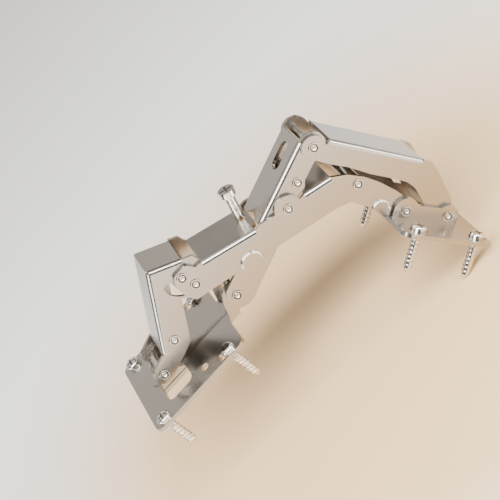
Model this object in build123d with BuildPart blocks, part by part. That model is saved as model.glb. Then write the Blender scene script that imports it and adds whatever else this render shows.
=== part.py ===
"""Concealed cabinet hinge, fully open: pressed steel links riveted between two mounting plates.

Millimetres. X runs from the cabinet plate towards the door, Y along the pivots, Z up off the plate.
The origin is the middle of the cabinet plate's underside. The hinge is the same on both sides of y = 0.
"""
import math
import os
from build123d import *

os.makedirs("parts", exist_ok=True)

# Sheet thicknesses, and the layers they make outwards from the middle (half widths)
plate_sheet = 1.5
link_sheet = 1.3
side_gap = 0.1
ear_half = 7.2
inner_face = ear_half + side_gap
inner_half = inner_face + link_sheet
outer_face = inner_half + side_gap
outer_half = outer_face + link_sheet
door_face = outer_half + side_gap
door_half = door_face + plate_sheet
bend = 1.8

# Rivets: a shank, and a low head on each outer face
shank = 1.5
turning_gap = 0.05
head = 1.95
head_height = 0.4
dimple = 0.8
spacer = 2.3

# Where the pivots sit, seen from the side (x, z)
foot_pivot = (-7.0, 6.7)
rocker_pivot = (30.0, 6.7)
shoulder_pivot = (23.0, 28.0)
elbow_pivot = (63.8, 15.8)
cover_pivot = (84.6, 24.6)
door_pivot = (89.8, -18.6)
stop_pin = (24.4, 22.6)
link_spacer = (4.5, 13.0)
rocker_spacer = (72.3, 19.3)
arm_spacer = (85.5, 2.2)

# The door plate's own frame starts at the door pivot: x along the plate, z off it
door_tilt = 59.64
door_along = (math.cos(math.radians(door_tilt)), 0, -math.sin(math.radians(door_tilt)))
door_up = (math.sin(math.radians(door_tilt)), 0, math.cos(math.radians(door_tilt)))
pivot_spacing = 16.35
pivot_height = 5.0
guide_pivot = (
    door_pivot[0] + pivot_spacing * door_along[0],
    door_pivot[1] + pivot_spacing * door_along[2],
)

# Cabinet plate
plate_left, plate_right = -21.4, 21.3
plate_width = 45.0
plate_corner = 3.0
tongue_end = 26.0
ear_face = ear_half - plate_sheet
window_left, window_right = -12.1, -0.5
window_outer = 15.1
window_inner = ear_half + 0.4
bead_width, bead_height = 3.6, 0.7
bead_left, bead_right = -14.4, 24.6

# Wood screws: 32 mm apart along the plate
screw_spacing = 32.0
screw_left = -16.8
screw_right = screw_left + screw_spacing
screw_side = 19.6
screw_shank = 1.7
screw_core = 1.4
screw_head = 2.7
screw_head_height = 1.8
screw_length = 14.0
cross_wide, cross_long, cross_deep = 0.75, 3.4, 1.1

# Door plate, measured from the door pivot along the plate
door_left, door_right = -5.15, 29.2
door_width = 49.0
door_screws = (2.2, 25.2)
door_screw_side = 19.4
slot_wide, slot_long = 3.6, 6.6

# Adjusting screw in the main arm's upper web
adjuster_at = (50.2, 5.4)
adjuster_radius = 1.7
adjuster_head = 3.0
adjuster_head_height = 2.2
adjuster_stands = 10.8


def strip(start, end):
    """Corners of a web seen from the side: its outer face from start to end, one sheet thick."""
    a = Vector(*start)
    b = Vector(*end)
    inward = (b - a).normalized().rotate(Axis.Z, -90) * link_sheet
    return [a, b, b + inward, a + inward]


def across(start, end):
    """The plane square to a web at its start: x across the hinge, y outwards, z along the web."""
    return Plane(origin=(start[0], 0, start[1]), x_dir=(0, 1, 0), z_dir=(end[0] - start[0], 0, end[1] - start[1]))


def outside_bends(half):
    """What the two bends leave off the square corners of a channel this half wide."""
    with Locations((bend / 2 - half - 0.1, 0.1 - bend / 2), (half - bend / 2 + 0.1, 0.1 - bend / 2)):
        Rectangle(bend + 0.2, bend + 0.2)
    with Locations((bend - half, -bend), (half - bend, -bend)):
        Circle(bend, mode=Mode.SUBTRACT)


def near(corners, *points):
    """The corners of a sketch nearest the given points."""
    return [corners.sort_by_distance(Vector(*p))[0] for p in points]


def on_line(start, end, x):
    """The point at x on the straight line through start and end."""
    slope = (end[1] - start[1]) / (end[0] - start[0])
    return (x, start[1] + slope * (x - start[0]))


# Cabinet plate: flat plate with two pressed-up ears over its windows, a tongue whose ears carry
# the rocker, and a bead pressed up along the middle
with BuildPart() as cabinet_plate:
    with BuildSketch():
        with Locations(((plate_left + plate_right) / 2, 0)):
            RectangleRounded(plate_right - plate_left, plate_width, plate_corner)
        with Locations(((tongue_end + 18) / 2, 0)):
            Rectangle(tongue_end - 18, 2 * ear_half)
    extrude(amount=plate_sheet)
    with BuildSketch(Plane.XZ.offset(ear_face)) as ears:
        Polygon(
            (-12.1, 0), (-12.1, 2.4), (-10.0, 5.0), (-10.0, 8.7), (-3.9, 8.7), (-3.9, 5.2), (-0.5, 2.4), (-0.5, 0),
            align=None,
        )
        fillet(near(ears.vertices(), (-10.0, 8.7), (-3.9, 8.7)), radius=0.8)
        Polygon(
            (21.0, 0), (22.0, 1.5), (24.6, 7.8), (26.6, 9.7), (29.1, 11.4), (30.0, 6.7), (31.5, 2.2), (26.0, 1.2),
            (26.0, 0),
            align=None,
        )
        with Locations(rocker_pivot):
            Circle(4.8)
        with Locations(foot_pivot):
            Circle(shank, mode=Mode.SUBTRACT)
        with Locations(rocker_pivot):
            Circle(shank + turning_gap, mode=Mode.SUBTRACT)
    extrude(amount=plate_sheet)
    mirror(about=Plane.XZ)
    with BuildSketch() as windows:
        middle = (window_left + window_right) / 2
        side = (window_inner + window_outer) / 2
        with Locations((middle, -side), (middle, side)):
            Rectangle(window_right - window_left, window_outer - window_inner)
        fillet([v for v in windows.vertices() if abs(v.Y) > side], radius=2.6)
    extrude(amount=plate_sheet, mode=Mode.SUBTRACT)
    with BuildSketch():
        with Locations((screw_left, -screw_side), (screw_left, screw_side)):
            Circle(screw_shank + turning_gap)
        with Locations((screw_right - 1.6, -screw_side), (screw_right - 1.6, screw_side)):
            SlotOverall(slot_long, slot_wide)
        with Locations((4.9, -15.9), (4.9, 15.9)):
            Circle(1.65)
    extrude(amount=plate_sheet, mode=Mode.SUBTRACT)
    with BuildSketch(Plane.XY.offset(plate_sheet)):
        with Locations(((bead_left + bead_right) / 2, 0)):
            SlotOverall(bead_right - bead_left, bead_width)
    extrude(amount=bead_height)
    fillet(cabinet_plate.faces().filter_by(Plane.XY).sort_by(Axis.Z)[-1].edges(), radius=0.6)
    with BuildSketch():
        with Locations(((bead_left + bead_right) / 2, 0)):
            SlotOverall(bead_right - bead_left - 1.6, bead_width - 1.6)
    extrude(amount=bead_height, mode=Mode.SUBTRACT)
cabinet_plate.part.label = "cabinet_plate"
export_step(cabinet_plate.part, "parts/cabinet_plate.step")

# Rocker: long bar on the cabinet plate's tongue, closed by a web along its upper right half
rocker_top = ((31.0, 11.6), (81.8, 29.0))
rocker_angle = math.degrees(math.atan2(rocker_top[1][1] - rocker_top[0][1], rocker_top[1][0] - rocker_top[0][0]))
rocker_web = (on_line(*rocker_top, 53.0), on_line(*rocker_top, 82.6))
with BuildPart() as rocker:
    with BuildSketch(Plane.XZ.offset(inner_face)) as wall:
        Polygon(
            (27.0, 1.1), on_line(*rocker_top, 27.0), on_line(*rocker_top, 83.0), cover_pivot, (83.4, 19.8),
            (81.3, 20.1), (74.6, 17.9), (73.0, 16.2), (67.7, 15.1), (51.4, 7.8), (36.5, 2.5), (33.0, 1.1),
            align=None,
        )
        fillet(near(wall.vertices(), (27.0, 1.1), on_line(*rocker_top, 27.0)), radius=3.4)
        fillet(near(wall.vertices(), (33.0, 1.1)), radius=3.0)
        with Locations(cover_pivot):
            Circle(5.0)
        with Locations(elbow_pivot):
            Circle(4.0)
        with Locations(on_line(*rocker_top, 52.3)):
            Circle(0.7, mode=Mode.SUBTRACT)
        with Locations(elbow_pivot, cover_pivot):
            Circle(shank + turning_gap, mode=Mode.SUBTRACT)
        with Locations(rocker_pivot, rocker_spacer):
            Circle(shank, mode=Mode.SUBTRACT)
    extrude(amount=link_sheet)
    mirror(about=Plane.XZ)
    with BuildSketch(Plane.XZ.offset(-inner_half)):
        Polygon(*strip(*rocker_web), align=None)
    extrude(amount=2 * inner_half)
    with BuildSketch(across(*rocker_web)):
        outside_bends(inner_half)
    extrude(amount=math.dist(*rocker_web), mode=Mode.SUBTRACT)
    slot_x, slot_z = on_line(*rocker_top, 74.9)
    with BuildSketch(Plane(origin=(slot_x, 0, slot_z), x_dir=(1, 0, 0), z_dir=(0, 0, 1)).rotated((0, -rocker_angle, 0))):
        SlotOverall(10.5, 5.5)
    extrude(amount=-2 * link_sheet, mode=Mode.SUBTRACT)
    end_x, end_z = on_line(*rocker_top, 47.6)
    with Locations(Location((end_x, 0, end_z), (0, -rocker_angle, 0))):
        Cylinder(7.0, 4 * link_sheet, mode=Mode.SUBTRACT)
rocker.part.label = "rocker"
export_step(rocker.part, "parts/rocker.step")

# Front link: U channel from the cabinet plate to the shoulder, with a curved slot for the stop pin
stop_path = CenterArc(shoulder_pivot, math.dist(shoulder_pivot, stop_pin), -75.5, -107.5)
link_web = ((-2.2, 12.1), (16.6, 38.6), (27.6, 32.2))
with BuildPart() as front_link:
    with BuildSketch(Plane.XZ.offset(inner_face)):
        with Locations(shoulder_pivot):
            Circle(8.2)
        Polygon(link_web[1], (32.15, 29.55), (36.0, 34.0), (20.0, 44.0), align=None, mode=Mode.SUBTRACT)
        Polygon(
            (-8.12, 10.23), link_web[0], link_web[1], link_web[2], shoulder_pivot, (17.5, 22.3), (8.1, 8.5),
            (5.3, 7.1), (0.3, 5.5), (-5.69, 3.24), foot_pivot,
            align=None,
        )
        with Locations(foot_pivot):
            Circle(3.7)
        SlotArc(stop_path, 2 * (shank + 0.25), mode=Mode.SUBTRACT)
        with Locations(shoulder_pivot):
            Circle(shank + turning_gap, mode=Mode.SUBTRACT)
        with Locations(foot_pivot, link_spacer):
            Circle(shank, mode=Mode.SUBTRACT)
    extrude(amount=link_sheet)
    mirror(about=Plane.XZ)
    with BuildSketch(Plane.XZ.offset(-inner_half)):
        Polygon(*strip(link_web[0], link_web[1]), align=None)
        Polygon(*strip(link_web[1], link_web[2]), align=None)
    extrude(amount=2 * inner_half)
    for start, end in ((link_web[0], link_web[1]), (link_web[1], link_web[2])):
        with BuildSketch(across(start, end)):
            outside_bends(inner_half)
        extrude(amount=math.dist(start, end), mode=Mode.SUBTRACT)
    wall_middle = inner_half - link_sheet / 2
    with Locations((16.6, -wall_middle, 38.6), (16.6, wall_middle, 38.6)):
        Cylinder(1.1, link_sheet + 0.4, rotation=(90, 0, 0), mode=Mode.SUBTRACT)
front_link.part.label = "front_link"
export_step(front_link.part, "parts/front_link.step")

# Main arm: the widest bent link, with a lobe round the shoulder, two webs and four pressed-out
# bosses that let the rivet heads of the inner links pass behind its walls when the door is shut
arm_top = ((30.2, 27.0), (50.6, 19.8))
arm_web = (on_line(*arm_top, 31.4), on_line(*arm_top, 51.0))
arm_web_low = ((71.0, 15.1), (81.0, 12.0))
arm_tilt = math.degrees(math.atan2(arm_web[0][1] - arm_web[1][1], arm_web[1][0] - arm_web[0][0]))
bosses = (((42.3, 11.9), 3.4), ((84.6, -11.4), 2.5))
boss_rise = 0.6
boss_rim = 0.9
with BuildPart() as main_arm:
    with BuildSketch(Plane.XZ.offset(outer_face)) as wall:
        Polygon(
            (20.8, 18.0), (19.2, 21.5), (19.2, 27.3), (21.5, 30.6), (27.0, 30.6), (28.8, 27.0), arm_top[0],
            arm_web[1], (54.5, 19.6), (59.7, 17.7), elbow_pivot, (68.8, 15.1), (71.0, 15.1), (81.0, 12.0),
            (85.4, 8.0), (88.7, 2.4), (90.9, -4.2), (92.6, -11.4), (93.1, -17.6), door_pivot, (88.4, -21.6),
            (83.2, -14.1), (82.7, -9.7), (82.1, -7.0), (79.9, -1.4), (78.8, -0.1), (73.8, 2.2), (69.9, 3.3),
            (51.7, 8.9), (36.8, 13.5), (21.3, 18.0),
            align=None,
        )
        fillet(near(wall.vertices(), (19.2, 21.5), (19.2, 27.3), (21.5, 30.6), (27.0, 30.6)), radius=1.8)
        fillet(near(wall.vertices(), (85.4, 8.0), (81.0, 12.0)), radius=3.0)
        with Locations(elbow_pivot):
            Circle(5.0)
        with Locations(door_pivot):
            Circle(3.4)
        with Locations(door_pivot):
            Circle(shank + turning_gap, mode=Mode.SUBTRACT)
        with Locations(shoulder_pivot, stop_pin, elbow_pivot, arm_spacer):
            Circle(shank, mode=Mode.SUBTRACT)
    extrude(amount=link_sheet)
    with BuildSketch(Plane.XZ.offset(outer_half)):
        for centre, radius in bosses:
            with Locations(centre):
                Circle(radius + boss_rim)
        Polygon((30.0, 15.6), (51.7, 8.9), (51.7, 4.0), (30.0, 4.0), align=None, mode=Mode.SUBTRACT)
        Polygon(
            (82.1, -7.0), (82.7, -9.7), (83.2, -14.1), (85.4, -17.3), (76.0, -17.3), (76.0, -5.0),
            align=None, mode=Mode.SUBTRACT,
        )
    extrude(amount=boss_rise)
    with BuildSketch(Plane.XZ.offset(outer_face)):
        for centre, radius in bosses:
            with Locations(centre):
                Circle(radius)
    extrude(amount=boss_rise, mode=Mode.SUBTRACT)
    mirror(about=Plane.XZ)
    with BuildSketch(Plane.XZ.offset(-outer_half)):
        Polygon(*strip(*arm_web), align=None)
        Polygon(*strip(*arm_web_low), align=None)
    extrude(amount=2 * outer_half)
    for start, end in (arm_web, arm_web_low):
        with BuildSketch(across(start, end)):
            outside_bends(outer_half)
        extrude(amount=math.dist(start, end), mode=Mode.SUBTRACT)
    web_x, web_z = on_line(*arm_web, adjuster_at[0])
    web_top = Plane(origin=(web_x, 0, web_z), x_dir=(1, 0, 0), z_dir=(0, 0, 1)).rotated((0, arm_tilt, 0))
    with BuildSketch(web_top) as tongue:
        with Locations((0.9, 0)):
            Rectangle(3.8, 12.0)
        fillet(tongue.vertices().filter_by(lambda v: v.X > 0), radius=1.8)
    extrude(amount=-link_sheet)
    with BuildSketch(web_top):
        with Locations((-0.1, 1.6)):
            Circle(1.65)
        with Locations((0, adjuster_at[1])):
            Circle(adjuster_radius + turning_gap)
    extrude(amount=-2 * link_sheet, mode=Mode.SUBTRACT)
main_arm.part.label = "main_arm"
export_step(main_arm.part, "parts/main_arm.step")

# Cover arm: U channel on the door side, from the rocker's end to the door plate
cover_edge = ((90.4, 21.8), (108.1, -13.6))
cover_web = (cover_edge[0], on_line(*cover_edge, 106.6))
with BuildPart() as cover_arm:
    with BuildSketch(Plane.XZ.offset(outer_face)) as wall:
        Polygon(
            cover_pivot, (88.2, 21.8), *cover_edge, (107.0, -18.6), (105.3, -23.5), (103.6, -29.1),
            (101.4, -32.4), guide_pivot, (94.9, -31.6), (95.4, -24.1), (95.9, -21.9), (97.6, -15.8), (97.3, -11.9),
            (95.9, -8.6), (93.7, -4.2), (90.9, 1.3), (87.5, 9.8), (84.7, 14.8), (83.4, 17.4), (81.6, 21.5),
            align=None,
        )
        fillet(near(wall.vertices(), cover_edge[1], (97.6, -15.8)), radius=2.0)
        with Locations(cover_pivot):
            Circle(4.3)
        with Locations(guide_pivot):
            Circle(3.2)
        with Locations(cover_pivot, guide_pivot):
            Circle(shank, mode=Mode.SUBTRACT)
    extrude(amount=link_sheet)
    mirror(about=Plane.XZ)
    with BuildSketch(Plane.XZ.offset(-outer_half)):
        Polygon(*strip(*cover_web), align=None)
    extrude(amount=2 * outer_half)
    with BuildSketch(across(*cover_web)):
        outside_bends(outer_half)
    extrude(amount=math.dist(*cover_web), mode=Mode.SUBTRACT)
cover_arm.part.label = "cover_arm"
export_step(cover_arm.part, "parts/cover_arm.step")

# Door plate: flat plate with two ears that carry the main arm and the cover arm
door_frame = Plane(origin=(door_pivot[0], 0, door_pivot[1]), x_dir=door_along, z_dir=door_up)
ear_frame = Plane(origin=(door_pivot[0], 0, door_pivot[1]), x_dir=door_along, z_dir=(0, -1, 0))
with BuildPart() as door_plate:
    with BuildSketch(door_frame.offset(-pivot_height)) as plate:
        with Locations(((door_left + door_right) / 2, 0)):
            Rectangle(door_right - door_left, door_width)
        fillet(near(plate.vertices(), (door_left, -door_width / 2), (door_left, door_width / 2)), radius=4.0)
        fillet(near(plate.vertices(), (door_right, -door_width / 2), (door_right, door_width / 2)), radius=2.0)
        with Locations([(x, y) for x in door_screws for y in (-door_screw_side, door_screw_side)]):
            SlotOverall(slot_long, slot_wide, mode=Mode.SUBTRACT)
    extrude(amount=plate_sheet)
    with BuildSketch(ear_frame.offset(door_face)) as ears:
        Polygon(
            (-4.7, -pivot_height), (-4.7, 0), (0, 2.5), (pivot_spacing, 2.5), (20.3, 0), (20.3, -pivot_height),
            align=None,
        )
        Circle(4.7)
        with Locations((pivot_spacing, 0)):
            Circle(4.1)
        with Locations((0, 0), (pivot_spacing, 0)):
            Circle(shank, mode=Mode.SUBTRACT)
    extrude(amount=plate_sheet)
    mirror(about=Plane.XZ)
door_plate.part.label = "door_plate"
export_step(door_plate.part, "parts/door_plate.step")

# Rivets across the hinge: name, pivot, outer face they are closed on, inner face of those walls, shank
# radius between the walls
rivets = (
    ("rocker_rivet", rocker_pivot, inner_half, inner_face, shank),
    ("elbow_rivet", elbow_pivot, outer_half, outer_face, shank),
    ("shoulder_rivet", shoulder_pivot, outer_half, outer_face, shank),
    ("stop_rivet", stop_pin, outer_half, outer_face, shank),
    ("cover_rivet", cover_pivot, outer_half, outer_face, shank),
    ("door_rivet", door_pivot, door_half, door_face, shank),
    ("link_spacer", link_spacer, inner_half, inner_face, spacer),
    ("rocker_spacer", rocker_spacer, inner_half, inner_face, spacer),
    ("arm_spacer", arm_spacer, outer_half, outer_face, spacer),
)
for name, (x, z), half, face, middle_radius in rivets:
    with BuildPart() as rivet:
        with Locations((x, 0, z)):
            Cylinder(shank, 2 * half, rotation=(90, 0, 0))
            Cylinder(middle_radius, 2 * face, rotation=(90, 0, 0))
        with Locations((x, -half - head_height / 2, z), (x, half + head_height / 2, z)):
            Cylinder(head, head_height, rotation=(90, 0, 0))
        ends = rivet.faces().filter_by(Plane.XZ).sort_by(Axis.Y)
        chamfer(ends[0].edges() + ends[-1].edges(), length=0.2)
        with Locations((x, -half - head_height, z), (x, half + head_height, z)):
            Cylinder(dimple, head_height, rotation=(90, 0, 0), mode=Mode.SUBTRACT)
    rivet.part.label = name
    export_step(rivet.part, f"parts/{name}.step")

# Pins of the two pivots that are left open, each between the walls it stays with
for name, (x, z), half in (("foot_pin", foot_pivot, ear_half), ("guide_pin", guide_pivot, outer_half)):
    with BuildPart() as pin:
        with Locations((x, 0, z)):
            Cylinder(shank, 2 * half, rotation=(90, 0, 0))
    pin.part.label = name
    export_step(pin.part, f"parts/{name}.step")

# Rivet heads of those two pivots, one in each outer wall
caps = (
    ("foot_cap", foot_pivot, inner_half, link_sheet),
    ("guide_cap", guide_pivot, door_half, plate_sheet),
)
for name, (x, z), half, depth in caps:
    for where, side in (("near", -1), ("far", 1)):
        with BuildPart() as cap:
            with Locations((x, side * (half - depth / 2), z)):
                Cylinder(shank, depth, rotation=(90, 0, 0))
            with Locations((x, side * (half + head_height / 2), z)):
                Cylinder(head, head_height, rotation=(90, 0, 0))
            ends = cap.faces().filter_by(Plane.XZ).sort_by(Axis.Y)
            chamfer((ends[-1] if side > 0 else ends[0]).edges(), length=0.2)
            with Locations((x, side * (half + head_height), z)):
                Cylinder(dimple, head_height, rotation=(90, 0, 0), mode=Mode.SUBTRACT)
        cap.part.label = f"{name}_{where}"
        export_step(cap.part, f"parts/{name}_{where}.step")

# Wood screws: pan heads with a cross recess, a neck that fills the plate's hole and a thinner core below
cabinet_screws = [Plane((x, y, plate_sheet)) for x in (screw_left, screw_right) for y in (-screw_side, screw_side)]
door_screw_planes = [
    door_frame.offset(plate_sheet - pivot_height).shift_origin(
        door_frame.offset(plate_sheet - pivot_height).from_local_coords((x, y, 0))
    )
    for x in door_screws for y in (-door_screw_side, door_screw_side)
]
for group, planes in (("cabinet_screw", cabinet_screws), ("door_screw", door_screw_planes)):
    for number, seat in enumerate(planes, 1):
        with BuildPart(seat) as screw:
            with Locations((0, 0, screw_head_height / 2)):
                Cylinder(screw_head, screw_head_height)
            fillet(screw.edges().sort_by_distance(seat.from_local_coords((0, 0, screw_head_height)))[0], radius=1.0)
            with Locations((0, 0, -plate_sheet / 2)):
                Cylinder(screw_shank, plate_sheet)
            with Locations((0, 0, -screw_length / 2)):
                Cylinder(screw_core, screw_length)
            with Locations((0, 0, -screw_length - 0.9)):
                Cone(0.4, screw_core, 1.8)
            with Locations((0, 0, screw_head_height - cross_deep / 2)):
                Box(cross_long, cross_wide, cross_deep, mode=Mode.SUBTRACT)
                Box(cross_wide, cross_long, cross_deep, mode=Mode.SUBTRACT)
        screw.part.label = f"{group}_{number}"
        export_step(screw.part, f"parts/{group}_{number}.step")

# Adjusting screw: threaded through the main arm's web, head up
adjuster_seat = web_top.shift_origin(web_top.from_local_coords((0, adjuster_at[1], 0)))
with BuildPart(adjuster_seat) as adjusting_screw:
    shaft_length = adjuster_stands - adjuster_head_height + link_sheet
    with Locations((0, 0, shaft_length / 2 - link_sheet)):
        Cylinder(adjuster_radius, shaft_length)
    with Locations((0, 0, adjuster_stands - adjuster_head_height / 2)):
        Cylinder(adjuster_head, adjuster_head_height)
    head_top = adjuster_seat.from_local_coords((0, 0, adjuster_stands))
    fillet(adjusting_screw.edges().sort_by_distance(head_top)[0], radius=1.1)
    with Locations((0, 0, adjuster_stands - cross_deep / 2)):
        Box(1.3 * cross_long, cross_wide, cross_deep, mode=Mode.SUBTRACT)
        Box(cross_wide, 1.3 * cross_long, cross_deep, mode=Mode.SUBTRACT)
adjusting_screw.part.label = "adjusting_screw"
export_step(adjusting_screw.part, "parts/adjusting_screw.step")
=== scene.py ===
"""Concealed cabinet hinge, wide open: nickel-plated steel links riveted between two mounting plates."""
import math

import bmesh
import bpy
from mathutils import Matrix, Vector


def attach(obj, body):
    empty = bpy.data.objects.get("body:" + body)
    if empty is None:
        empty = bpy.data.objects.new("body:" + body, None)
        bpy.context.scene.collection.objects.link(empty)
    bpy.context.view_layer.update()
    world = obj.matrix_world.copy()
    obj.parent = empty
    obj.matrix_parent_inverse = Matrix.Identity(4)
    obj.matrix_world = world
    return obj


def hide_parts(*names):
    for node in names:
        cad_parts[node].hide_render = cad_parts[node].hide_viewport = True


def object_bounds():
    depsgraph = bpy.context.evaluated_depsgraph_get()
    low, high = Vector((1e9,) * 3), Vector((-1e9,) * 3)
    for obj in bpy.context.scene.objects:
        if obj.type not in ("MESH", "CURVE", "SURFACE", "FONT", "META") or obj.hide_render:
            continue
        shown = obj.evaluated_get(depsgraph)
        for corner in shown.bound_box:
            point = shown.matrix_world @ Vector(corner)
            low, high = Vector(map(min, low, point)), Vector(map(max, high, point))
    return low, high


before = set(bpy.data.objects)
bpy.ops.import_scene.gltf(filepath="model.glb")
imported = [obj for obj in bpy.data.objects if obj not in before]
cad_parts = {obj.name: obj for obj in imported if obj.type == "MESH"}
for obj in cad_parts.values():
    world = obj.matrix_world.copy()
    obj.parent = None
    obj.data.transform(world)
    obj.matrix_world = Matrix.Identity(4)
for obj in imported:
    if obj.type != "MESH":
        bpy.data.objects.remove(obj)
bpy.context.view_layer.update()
MM = 0.001


# Pressed sheet: cold-rolled steel strip, blanked, bent and barrel-plated with satin nickel. The plating
# is a warm grey with faint clouds, and the bends come up brighter. The grain of the rolled strip is
# drawn at 0.35 mm, coarser than the real one, so that it shows.
def linear(hex_colour):
    """An sRGB hex colour as linear red, green, blue and alpha."""
    parts = [int(hex_colour[i:i + 2], 16) / 255 for i in (1, 3, 5)]
    return [p / 12.92 if p <= 0.04045 else ((p + 0.055) / 1.055) ** 2.4 for p in parts] + [1.0]


def add_node(tree, kind, settings=None, **links):
    """A node of that kind with its settings, and each named input linked or set."""
    node = tree.nodes.new(kind)
    for name, value in (settings or {}).items():
        setattr(node, name, value)
    for name, value in links.items():
        wanted = name.replace("_", " ").lower()
        socket = next(s for s in node.inputs if s.name.lower() == wanted and s.enabled)
        if isinstance(value, bpy.types.NodeSocket):
            tree.links.new(value, socket)
        else:
            socket.default_value = value
    return node


# The numbers of a colour mix's two colour inputs, which share their names with its other inputs.
MIX_FIRST, MIX_SECOND = 6, 7


def plated_steel(name, light, dark, roughness, cloud_mm, grain_mm, bump):
    """Nickel plate on steel: clouds this wide in colour and roughness, over grain this wide, in mm."""
    material = bpy.data.materials.new(name)
    material.use_nodes = True
    tree = material.node_tree
    tree.nodes.clear()
    place = add_node(tree, "ShaderNodeTexCoord").outputs["Object"]
    cloud = add_node(
        tree, "ShaderNodeTexNoise", Vector=place, Scale=1 / (cloud_mm * MM), Detail=3.0, Roughness=0.55,
    )
    grain = add_node(tree, "ShaderNodeTexNoise", Vector=place, Scale=1 / (grain_mm * MM), Detail=2.0)
    tint = add_node(tree, "ShaderNodeMix", {"data_type": "RGBA"}, Factor=cloud.outputs["Fac"])
    tint.inputs[MIX_FIRST].default_value = linear(dark)
    tint.inputs[MIX_SECOND].default_value = linear(light)
    rough = add_node(
        tree, "ShaderNodeMapRange", Value=cloud.outputs["Fac"], From_Min=0.3, From_Max=0.7,
        To_Min=roughness * 0.92, To_Max=roughness * 1.08,
    )
    bumps = add_node(tree, "ShaderNodeBump", Strength=bump, Distance=0.02 * MM, Height=grain.outputs["Fac"])
    shader = add_node(
        tree, "ShaderNodeBsdfPrincipled", Metallic=1.0, Base_Color=tint.outputs[2],
        Roughness=rough.outputs["Result"], Normal=bumps.outputs["Normal"],
    )
    add_node(tree, "ShaderNodeOutputMaterial", Surface=shader.outputs["BSDF"])
    return material


satin_nickel = plated_steel(
    "satin_nickel_plate", "#AEA8A0", "#A49E96", roughness=0.25, cloud_mm=14.0, grain_mm=0.35, bump=0.2,
)


def placed(name, data):
    """An object of that mesh, lamp or lens, linked to the scene."""
    piece = bpy.data.objects.new(name, data)
    bpy.context.scene.collection.objects.link(piece)
    return piece


def finished_copy(node, material, merge_mm=0.002, crisp_over=32):
    """A CAD node's mesh merged, smooth round its bends and crisp at its cut edges, in that material."""
    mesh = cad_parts[node].data.copy()
    mesh.materials.clear()
    mesh.materials.append(material)
    made = bmesh.new()
    made.from_mesh(mesh)
    bmesh.ops.remove_doubles(made, verts=made.verts, dist=merge_mm * MM)
    made.to_mesh(mesh)
    made.free()
    # The normals that came with the loose triangles are wrong once their corners are merged.
    if "custom_normal" in mesh.attributes:
        mesh.attributes.remove(mesh.attributes["custom_normal"])
    mesh.shade_smooth()
    mesh.set_sharp_from_angle(angle=math.radians(crisp_over))
    piece = placed(node + "_finished", mesh)
    flat = piece.modifiers.new("flat faces stay flat", "WEIGHTED_NORMAL")
    flat.keep_sharp = True
    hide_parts(node)
    return piece


for node, body in (
    ("cabinet_plate", "cabinet"), ("door_plate", "door"), ("main_arm", "main_arm"),
    ("front_link", "front_link"), ("rocker", "rocker"), ("cover_arm", "cover_arm"),
):
    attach(finished_copy(node, satin_nickel), body)


# Pressed rims: the rounded lip that the press leaves along the top of each boss in the main arm's
# walls. Its plating is smoother and painted lighter than the walls as a painted highlight, so the lip shows
# as a bright arc.
rim_highlight_nickel = plated_steel(
    "painted_highlight_nickel_plate", "#D6D0C7", "#C6BFB6", roughness=0.12, cloud_mm=3.0, grain_mm=0.2, bump=0.1,
)


def new_tree(name, **sizes):
    """A Geometry Nodes tree for points, these named sizes and a Finish, and the node that gives them."""
    tree = bpy.data.node_groups.new(name, "GeometryNodeTree")
    for label, kind in {"Geometry": "Geometry", **sizes, "Finish": "Material"}.items():
        tree.interface.new_socket(label, in_out="INPUT", socket_type="NodeSocket" + kind)
    tree.interface.new_socket("Geometry", in_out="OUTPUT", socket_type="NodeSocketGeometry")
    return tree, add_node(tree, "NodeGroupInput")


def set_on_points(tree, given, **copied):
    """The end of a tree: a copy on each point, turned by the point's turn, made real and in Finish."""
    turn = add_node(tree, "GeometryNodeInputNamedAttribute", {"data_type": "FLOAT_VECTOR"}, Name="turn")
    copies = add_node(
        tree, "GeometryNodeInstanceOnPoints", Points=given.outputs["Geometry"],
        Rotation=turn.outputs["Attribute"], **copied,
    )
    real = add_node(tree, "GeometryNodeRealizeInstances", Geometry=copies.outputs["Instances"])
    finished = add_node(
        tree, "GeometryNodeSetMaterial", Geometry=real.outputs["Geometry"], Material=given.outputs["Finish"],
    )
    add_node(tree, "NodeGroupOutput", Geometry=finished.outputs["Geometry"])


rim_tree, given = new_tree("arc_on_points", Radius="Float", Start="Float", Sweep="Float", Thick="Float")
arc = add_node(
    rim_tree, "GeometryNodeCurveArc", Resolution=40, Radius=given.outputs["Radius"],
    Start_Angle=given.outputs["Start"], Sweep_Angle=given.outputs["Sweep"],
)
section = add_node(
    rim_tree, "GeometryNodeCurvePrimitiveCircle", {"mode": "RADIUS"}, Resolution=16,
    Radius=given.outputs["Thick"],
)
bent = add_node(
    rim_tree, "GeometryNodeCurveToMesh", Curve=arc.outputs["Curve"], Profile_Curve=section.outputs["Curve"],
    Fill_Caps=True,
)
set_on_points(rim_tree, given, Instance=bent.outputs["Mesh"])


def made_on_points(name, tree, places, values):
    """What that tree makes of these points (place in mm, turn in degrees) and values, as one plain mesh."""
    points = bpy.data.meshes.new(name)
    points.from_pydata([Vector(place) * MM for place, turn in places], [], [])
    turns = points.attributes.new("turn", "FLOAT_VECTOR", "POINT")
    for item, (place, turn) in zip(turns.data, places):
        item.vector = [math.radians(a) for a in turn]
    source = placed(name + "_points", points)
    modifier = source.modifiers.new("made", "NODES")
    modifier.node_group = tree
    for item in tree.interface.items_tree:
        if item.in_out == "INPUT" and item.name in values:
            modifier[item.identifier] = values[item.name]
    bpy.context.view_layer.update()
    shown = source.evaluated_get(bpy.context.evaluated_depsgraph_get())
    mesh = bpy.data.meshes.new_from_object(shown)
    mesh.materials.clear()
    mesh.materials.append(values["Finish"])
    for face in mesh.polygons:
        face.material_index = 0
    source.modifiers.remove(modifier)
    bpy.data.objects.remove(source)
    return placed(name, mesh)


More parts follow.
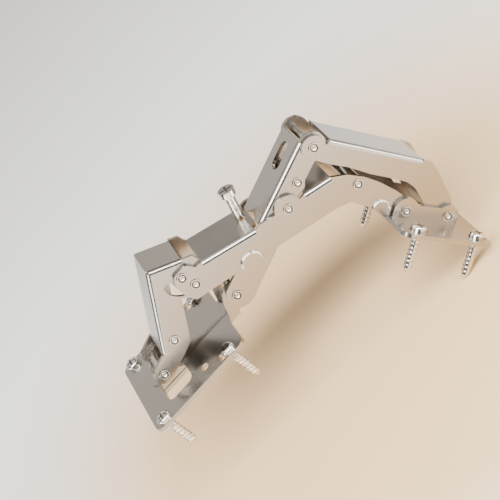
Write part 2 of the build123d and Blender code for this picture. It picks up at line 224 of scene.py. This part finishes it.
# Turns that lay a pattern's Z along the pivots: out of the near side, and out of the far side.
NEAR, FAR = (90, 0, 0), (-90, 0, 0)
boss_top = 10.3
rim_thick = 0.62
bosses = (
    # middle (x, z), radius, where the rim starts, how far it goes round
    ((42.3, 11.9), 3.75, -14, 174),
    ((84.6, -11.4), 2.85, -62, 172),
)
for number, ((x, z), radius, start, sweep) in enumerate(bosses, 1):
    for side, y, turn, first in (("near", -boss_top, NEAR, start), ("far", boss_top, FAR, -start - sweep)):
        rim = made_on_points(f"pressed_rim_{number}_{side}", rim_tree, [((x, y, z), turn)], {
            "Radius": radius * MM, "Start": math.radians(first), "Sweep": math.radians(sweep),
            "Thick": rim_thick * MM, "Finish": rim_highlight_nickel,
        })
        for face in rim.data.polygons:
            face.use_smooth = True
        rim.data.set_sharp_from_angle(angle=math.radians(50))  # only its cut ends stay crisp
        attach(rim, "main_arm")


# Rivets: steel shanks through both walls, closed over into a low head with a raised rim, a groove
# and a centre dimple left by the closing tool. They are barrel-plated with the links and come out a
# little brighter, but the groove and a ring round each head's foot are painted dark as painted shade.
rivet_nickel = plated_steel(
    "rivet_nickel_plate", "#CFC9C0", "#BBB4AB", roughness=0.18, cloud_mm=2.5, grain_mm=0.2, bump=0.15,
)
rivet_painted_shade = plated_steel(
    "painted_shade_steel", "#4A453F", "#36322D", roughness=0.45, cloud_mm=1.0, grain_mm=0.2, bump=0.2,
)


def turned(name, profile, steps=40):
    """A closed piece turned about Z from its (radius, height) profile in mm, which ends on the axis."""
    shape = bmesh.new()
    rings = []
    for radius, height in profile:
        if radius == 0:
            rings.append([shape.verts.new((0, 0, height * MM))])
            continue
        ring = []
        for step in range(steps):
            turn = 2 * math.pi * step / steps
            ring.append(shape.verts.new((
                radius * MM * math.cos(turn), radius * MM * math.sin(turn), height * MM,
            )))
        rings.append(ring)
    for low, high in zip(rings, rings[1:]):
        for step in range(steps):
            after = (step + 1) % steps
            if len(low) == 1:
                shape.faces.new((low[0], high[after], high[step]))
            elif len(high) == 1:
                shape.faces.new((low[step], low[after], high[0]))
            else:
                shape.faces.new((low[step], low[after], high[after], high[step]))
    if len(rings[0]) > 1:
        shape.faces.new(rings[0][::-1])
    bmesh.ops.recalc_face_normals(shape, faces=shape.faces)
    mesh = bpy.data.meshes.new(name)
    shape.to_mesh(mesh)
    shape.free()
    for face in mesh.polygons:
        face.use_smooth = True
    return placed(name, mesh)


rivet_head = turned("rivet_head", (
    (1.95, 0.0), (1.95, 0.22), (1.88, 0.33), (1.75, 0.39), (1.6, 0.4), (1.42, 0.34), (1.3, 0.16),
    (1.18, 0.08), (1.06, 0.12), (0.98, 0.28), (0.84, 0.37), (0.66, 0.35), (0.48, 0.16), (0.28, 0.05),
    (0.0, 0.03),
))
rivet_shank = turned("rivet_shank", ((0.0, -0.5), (1.5, -0.5), (1.5, 0.5), (0.0, 0.5)), 32)
spacer_shank = turned("spacer_shank", (
    (0.0, -0.5), (2.15, -0.5), (2.3, -0.49), (2.3, 0.49), (2.15, 0.5), (0.0, 0.5),
), 32)

rivet_tree, given = new_tree("rivets_on_points", Pattern="Object", Stretch="Vector")
chosen = add_node(rivet_tree, "GeometryNodeObjectInfo", Object=given.outputs["Pattern"])
set_on_points(rivet_tree, given, Instance=chosen.outputs["Geometry"], Scale=given.outputs["Stretch"])


def rivet_pieces(name, pattern, places, long=1.0):
    """A rivet's head, or its shank this many millimetres long, at each place and turn."""
    return made_on_points(
        name, rivet_tree, places, {"Pattern": pattern, "Stretch": (1, 1, long), "Finish": rivet_nickel},
    )


def riveted(name, pieces, spots, half):
    """One object of these pieces, with painted shade in the closing tool's groove and round each head's foot.
    """
    made = bmesh.new()
    for piece in pieces:
        made.from_mesh(piece.data)
        bpy.data.objects.remove(piece)
    for face in made.faces:
        face.material_index = 0
        face.smooth = True
    mesh = bpy.data.meshes.new(name)
    made.to_mesh(mesh)
    made.free()
    mesh.materials.append(rivet_nickel)
    mesh.materials.append(rivet_painted_shade)
    mesh.set_sharp_from_angle(angle=math.radians(40))
    groove_in, groove_out, head_foot = 1.0, 1.4, 1.9  # distances from the rivet's axis
    # Faces on the heads' outer sides, in the groove or round the foot, take the painted shade.
    for face in mesh.polygons:
        x, y, z = face.center / MM
        off_axis = min(math.dist((x, z), spot) for spot in spots)
        if abs(y) > half - 0.01 and (groove_in < off_axis < groove_out or off_axis > head_foot):
            face.material_index = 1
    return placed(name, mesh)


def rivets(name, body, plain, spaced, half, sheet, nodes):
    """One body's rivets, at these (x, z) in mm, with heads on its outer faces, half from the middle.

    The plain ones have a shank only, and the spaced ones a thick spacer too, between walls of this sheet.
    """
    spots = plain + spaced
    heads = [((x, -half, z), NEAR) for x, z in spots] + [((x, half, z), FAR) for x, z in spots]
    shanks = [((x, 0, z), NEAR) for x, z in spots]
    parts = [
        rivet_pieces(name + "_heads", rivet_head, heads),
        rivet_pieces(name + "_shanks", rivet_shank, shanks, 2 * half),
    ]
    if spaced:
        spacers = [((x, 0, z), NEAR) for x, z in spaced]
        parts.append(rivet_pieces(name + "_spacers", spacer_shank, spacers, 2 * (half - sheet)))
    piece = riveted(name, parts, spots, half)
    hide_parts(*nodes)
    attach(piece, body)


# From the middle to the outer faces of the inner channels, the outer channels and the door's ears.
inner_half, outer_half, ear_half = 8.6, 10.0, 11.6
link_sheet, plate_sheet = 1.3, 1.5
rivets(
    "arm_rivets", "main_arm", [(23.0, 28.0), (24.4, 22.6), (63.8, 15.8)], [(85.5, 2.2)],
    outer_half, link_sheet, ("shoulder_rivet", "stop_rivet", "elbow_rivet", "arm_spacer"),
)
rivets(
    "rocker_rivets", "rocker", [(30.0, 6.7)], [(72.3, 19.3)], inner_half, link_sheet,
    ("rocker_rivet", "rocker_spacer"),
)
rivets("cover_rivets", "cover_arm", [(84.6, 24.6)], [], outer_half, link_sheet, ("cover_rivet",))
rivets("door_rivets", "door", [(89.8, -18.6)], [], ear_half, plate_sheet, ("door_rivet",))
rivets("link_rivets", "front_link", [], [(4.5, 13.0)], inner_half, link_sheet, ("link_spacer",))

# The two pivots whose pin is in one body and whose closed-over ends are in the other.
cap_long = 1.3
for name, body, (x, z), half in (
    ("foot_cap", "front_link", (-7.0, 6.7), inner_half), ("guide_cap", "door", (98.064, -32.708), ear_half),
):
    for where, side, turn in (("near", -1, NEAR), ("far", 1, FAR)):
        parts = [
            rivet_pieces("cap_head", rivet_head, [((x, side * half, z), turn)]),
            rivet_pieces("cap_shank", rivet_shank, [((x, side * (half - cap_long / 2), z), NEAR)], cap_long),
        ]
        piece = riveted(f"{name}_{where}_finished", parts, [(x, z)], half)
        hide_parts(f"{name}_{where}")
        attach(piece, body)
for node in ("foot_pin", "guide_pin"):
    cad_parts[node].material_slots[0].material = rivet_nickel
for used in (rivet_head, rivet_shank, spacer_shank):
    bpy.data.objects.remove(used)


# Screws: cold-headed steel, cross recess punched in a low round head. The bright nickel plate throws
# small sharp lights. The wood screws hold the two plates, and the machine screw stands in the arm's web.
bright_nickel = plated_steel(
    "bright_nickel_plate", "#DEDAD3", "#CFC9C0", roughness=0.12, cloud_mm=2.0, grain_mm=0.2, bump=0.1,
)
for number in (1, 2, 3, 4):
    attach(finished_copy(f"cabinet_screw_{number}", bright_nickel), "cabinet")
    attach(finished_copy(f"door_screw_{number}", bright_nickel), "door")
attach(finished_copy("adjusting_screw", bright_nickel), "adjuster")


# Threads: rolled onto the screws' shanks, coarse and sharp on the wood screws, fine on the machine
# screw. Each is a ridge that runs up a helix, so it catches the light as a row of short bright lines.
thread_tree, given = new_tree(
    "ridge_on_a_helix", Turns="Float", Pitch="Float", Radius="Float", Depth="Float",
)
height = add_node(thread_tree, "ShaderNodeMath", {"operation": "MULTIPLY"})
thread_tree.links.new(given.outputs["Turns"], height.inputs[0])
thread_tree.links.new(given.outputs["Pitch"], height.inputs[1])
helix = add_node(
    thread_tree, "GeometryNodeCurveSpiral", Resolution=20, Rotations=given.outputs["Turns"],
    Start_Radius=given.outputs["Radius"], End_Radius=given.outputs["Radius"], Height=height.outputs["Value"],
)
ridge = add_node(
    thread_tree, "GeometryNodeCurvePrimitiveCircle", {"mode": "RADIUS"}, Resolution=4,
    Radius=given.outputs["Depth"],
)
wound = add_node(
    thread_tree, "GeometryNodeCurveToMesh", Curve=helix.outputs["Curve"],
    Profile_Curve=ridge.outputs["Curve"], Fill_Caps=True,
)
set_on_points(thread_tree, given, Instance=wound.outputs["Mesh"])

# The wood screws' threads start this far below their plate's underside and wind up to it. The door
# pivot stands 5 mm over the underside of its plate, and the plate is tilted.
thread_below, pivot_over_door = 11.9, 5.0
cabinet_places = [((x, y, -thread_below), (0, 0, 0)) for x in (-16.8, 15.2) for y in (-19.6, 19.6)]
door_pivot = Vector((89.8, 0, -18.6))
door_tilt = 59.64
slope = math.radians(door_tilt)
door_along = Vector((math.cos(slope), 0, -math.sin(slope)))
door_up = Vector((math.sin(slope), 0, math.cos(slope)))
door_places = [
    (door_pivot + x * door_along + Vector((0, y, 0)) - (pivot_over_door + thread_below) * door_up,
     (0, door_tilt, 0))
    for x in (2.2, 25.2) for y in (-19.4, 19.4)
]
adjuster_foot, adjuster_up = Vector((50.2, 5.4, 19.94)), Vector((0.3328, 0, 0.943))
adjuster_tilt = 19.44
adjuster_places = [(adjuster_foot + 0.1 * adjuster_up, (0, adjuster_tilt, 0))]
wood_thread = {"Turns": 7.0, "Pitch": 1.6 * MM, "Radius": 1.4 * MM, "Depth": 0.32 * MM}
machine_thread = {"Turns": 12.0, "Pitch": 0.7 * MM, "Radius": 1.66 * MM, "Depth": 0.2 * MM}
for name, body, places, values in (
    ("cabinet_threads", "cabinet", cabinet_places, wood_thread),
    ("door_threads", "door", door_places, wood_thread),
    ("adjuster_thread", "adjuster", adjuster_places, machine_thread),
):
    piece = made_on_points(name, thread_tree, places, {**values, "Finish": bright_nickel})
    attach(piece, body)


# Floor: a pale matt board under the lowest screw, printed warm in the middle and neutral further out,
# so that the plated walls grade from tan at the bottom to grey at the top.
low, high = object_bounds()
middle = (low + high) / 2
reach_out = 3.0
floor_mesh = bpy.data.meshes.new("floor")
floor_mesh.from_pydata([
    (x * reach_out, y * reach_out, low.z) for x, y in ((-1, -1), (1, -1), (1, 1), (-1, 1))
], [], [(0, 1, 2, 3)])
floor = placed("floor", floor_mesh)
floor_finish = bpy.data.materials.new("pale_matt_board")
floor_finish.use_nodes = True
board_tree = floor_finish.node_tree
board = board_tree.nodes["Principled BSDF"]
spot = add_node(board_tree, "ShaderNodeTexCoord").outputs["Object"]
from_middle = add_node(board_tree, "ShaderNodeVectorMath", {"operation": "DISTANCE"})
board_tree.links.new(spot, from_middle.inputs[0])
from_middle.inputs[1].default_value = (middle.x, middle.y, low.z)
outward = add_node(
    board_tree, "ShaderNodeMapRange", Value=from_middle.outputs["Value"], From_Min=90 * MM, From_Max=210 * MM,
)
tone = add_node(board_tree, "ShaderNodeMix", {"data_type": "RGBA"}, Factor=outward.outputs["Result"])
tone.inputs[MIX_FIRST].default_value = linear("#D8B486")
tone.inputs[MIX_SECOND].default_value = linear("#EBE9E6")
board_tree.links.new(tone.outputs[2], board.inputs["Base Color"])
board.inputs["Roughness"].default_value = 0.85
floor_mesh.materials.append(floor_finish)


# Studio: a long strip box over the near side draws a white line on each bend, two upright cards light
# the bends that stand up, and a small box fills in from the near right.
def soft_box(name, place, aim, long, wide, power):
    """A rectangular area light at place, turned to aim, all in metres."""
    lamp = bpy.data.lights.new(name, "AREA")
    lamp.shape = "RECTANGLE"
    lamp.size = long
    lamp.size_y = wide
    lamp.energy = power
    holder = placed(name, lamp)
    holder.location = place
    holder.rotation_euler = (aim - place).to_track_quat("-Z", "Y").to_euler()


soft_box("strip", middle + Vector((-0.05, -0.38, 0.57)), middle, long=1.0, wide=0.22, power=20.0)
soft_box("left_card", middle + Vector((-0.6, -0.15, 0.06)), middle, long=0.14, wide=0.34, power=2.5)
soft_box("right_card", middle + Vector((0.6, -0.2, 0.03)), middle, long=0.14, wide=0.24, power=2.0)
soft_box(
    "fill", middle + Vector((0.3, -0.2, 0.16)), middle + Vector((0.05, -0.08, -0.05)),
    long=0.16, wide=0.16, power=1.6,
)


# Room: pale walls between a dark floor line and a dark band near the ceiling, which draws the line beside
# each bend, a grey card behind the main arm, and the dark side that the camera stands on.
world = bpy.data.worlds.new("pale_room")
bpy.context.scene.world = world
world.use_nodes = True
sky = world.node_tree
sky.nodes.clear()
direction = add_node(sky, "ShaderNodeTexCoord").outputs["Generated"]
axes = add_node(sky, "ShaderNodeSeparateXYZ", Vector=direction)
ramp = add_node(sky, "ShaderNodeValToRGB", Fac=axes.outputs["Z"])
bands = ramp.color_ramp.elements
for place, colour in (
    (0.0, "#4A4038"), (0.16, "#5A5048"), (0.26, "#EAE6E0"), (0.56, "#E6E2DC"), (0.64, "#2E2A26"),
    (0.78, "#3A3632"), (0.86, "#FFFFFF"),
):
    band = bands.new(place) if place else bands[0]
    band.position = place
    band.color = linear(colour)
bands[-1].color = linear("#FFFFFF")
card_direction = (0.25, 0.85, 0.46)
away = add_node(sky, "ShaderNodeVectorMath", {"operation": "DISTANCE"})
sky.links.new(direction, away.inputs[0])
away.inputs[1].default_value = card_direction
card = add_node(
    sky, "ShaderNodeMapRange", Value=away.outputs["Value"], From_Min=0.06, From_Max=0.2,
    To_Min=0.65, To_Max=1.6,
)
camera_side = add_node(
    sky, "ShaderNodeMapRange", Value=axes.outputs["Y"], From_Min=-0.25, From_Max=0.15,
    To_Min=0.12, To_Max=1.0,
)
strength = add_node(sky, "ShaderNodeMath", {"operation": "MULTIPLY"})
sky.links.new(card.outputs["Result"], strength.inputs[0])
sky.links.new(camera_side.outputs["Result"], strength.inputs[1])
room = add_node(sky, "ShaderNodeBackground", Color=ramp.outputs["Color"], Strength=strength.outputs["Value"])
add_node(sky, "ShaderNodeOutputWorld", Surface=room.outputs["Background"])


# Camera: a long lens from above the near side, rolled as the photograph is. Its place and its three
# axes were solved from the plate's corners, the pivots and the screw heads.
picture_pixels, focal_pixels = 500, 1657.2
lens = bpy.data.cameras.new("photograph")
lens.sensor_width = 36.0
lens.lens = lens.sensor_width * focal_pixels / picture_pixels
camera = placed("photograph", lens)
right = Vector((0.674035, -0.327210, -0.662277))
up = Vector((0.733168, 0.405847, 0.545667))
back = Vector((0.090236, -0.853359, 0.513455))
turned_to = Matrix((right, up, back)).transposed().to_4x4()
camera.matrix_world = Matrix.Translation(Vector((95.0895, -484.7153, 301.6959)) * MM) @ turned_to
bpy.context.scene.camera = camera
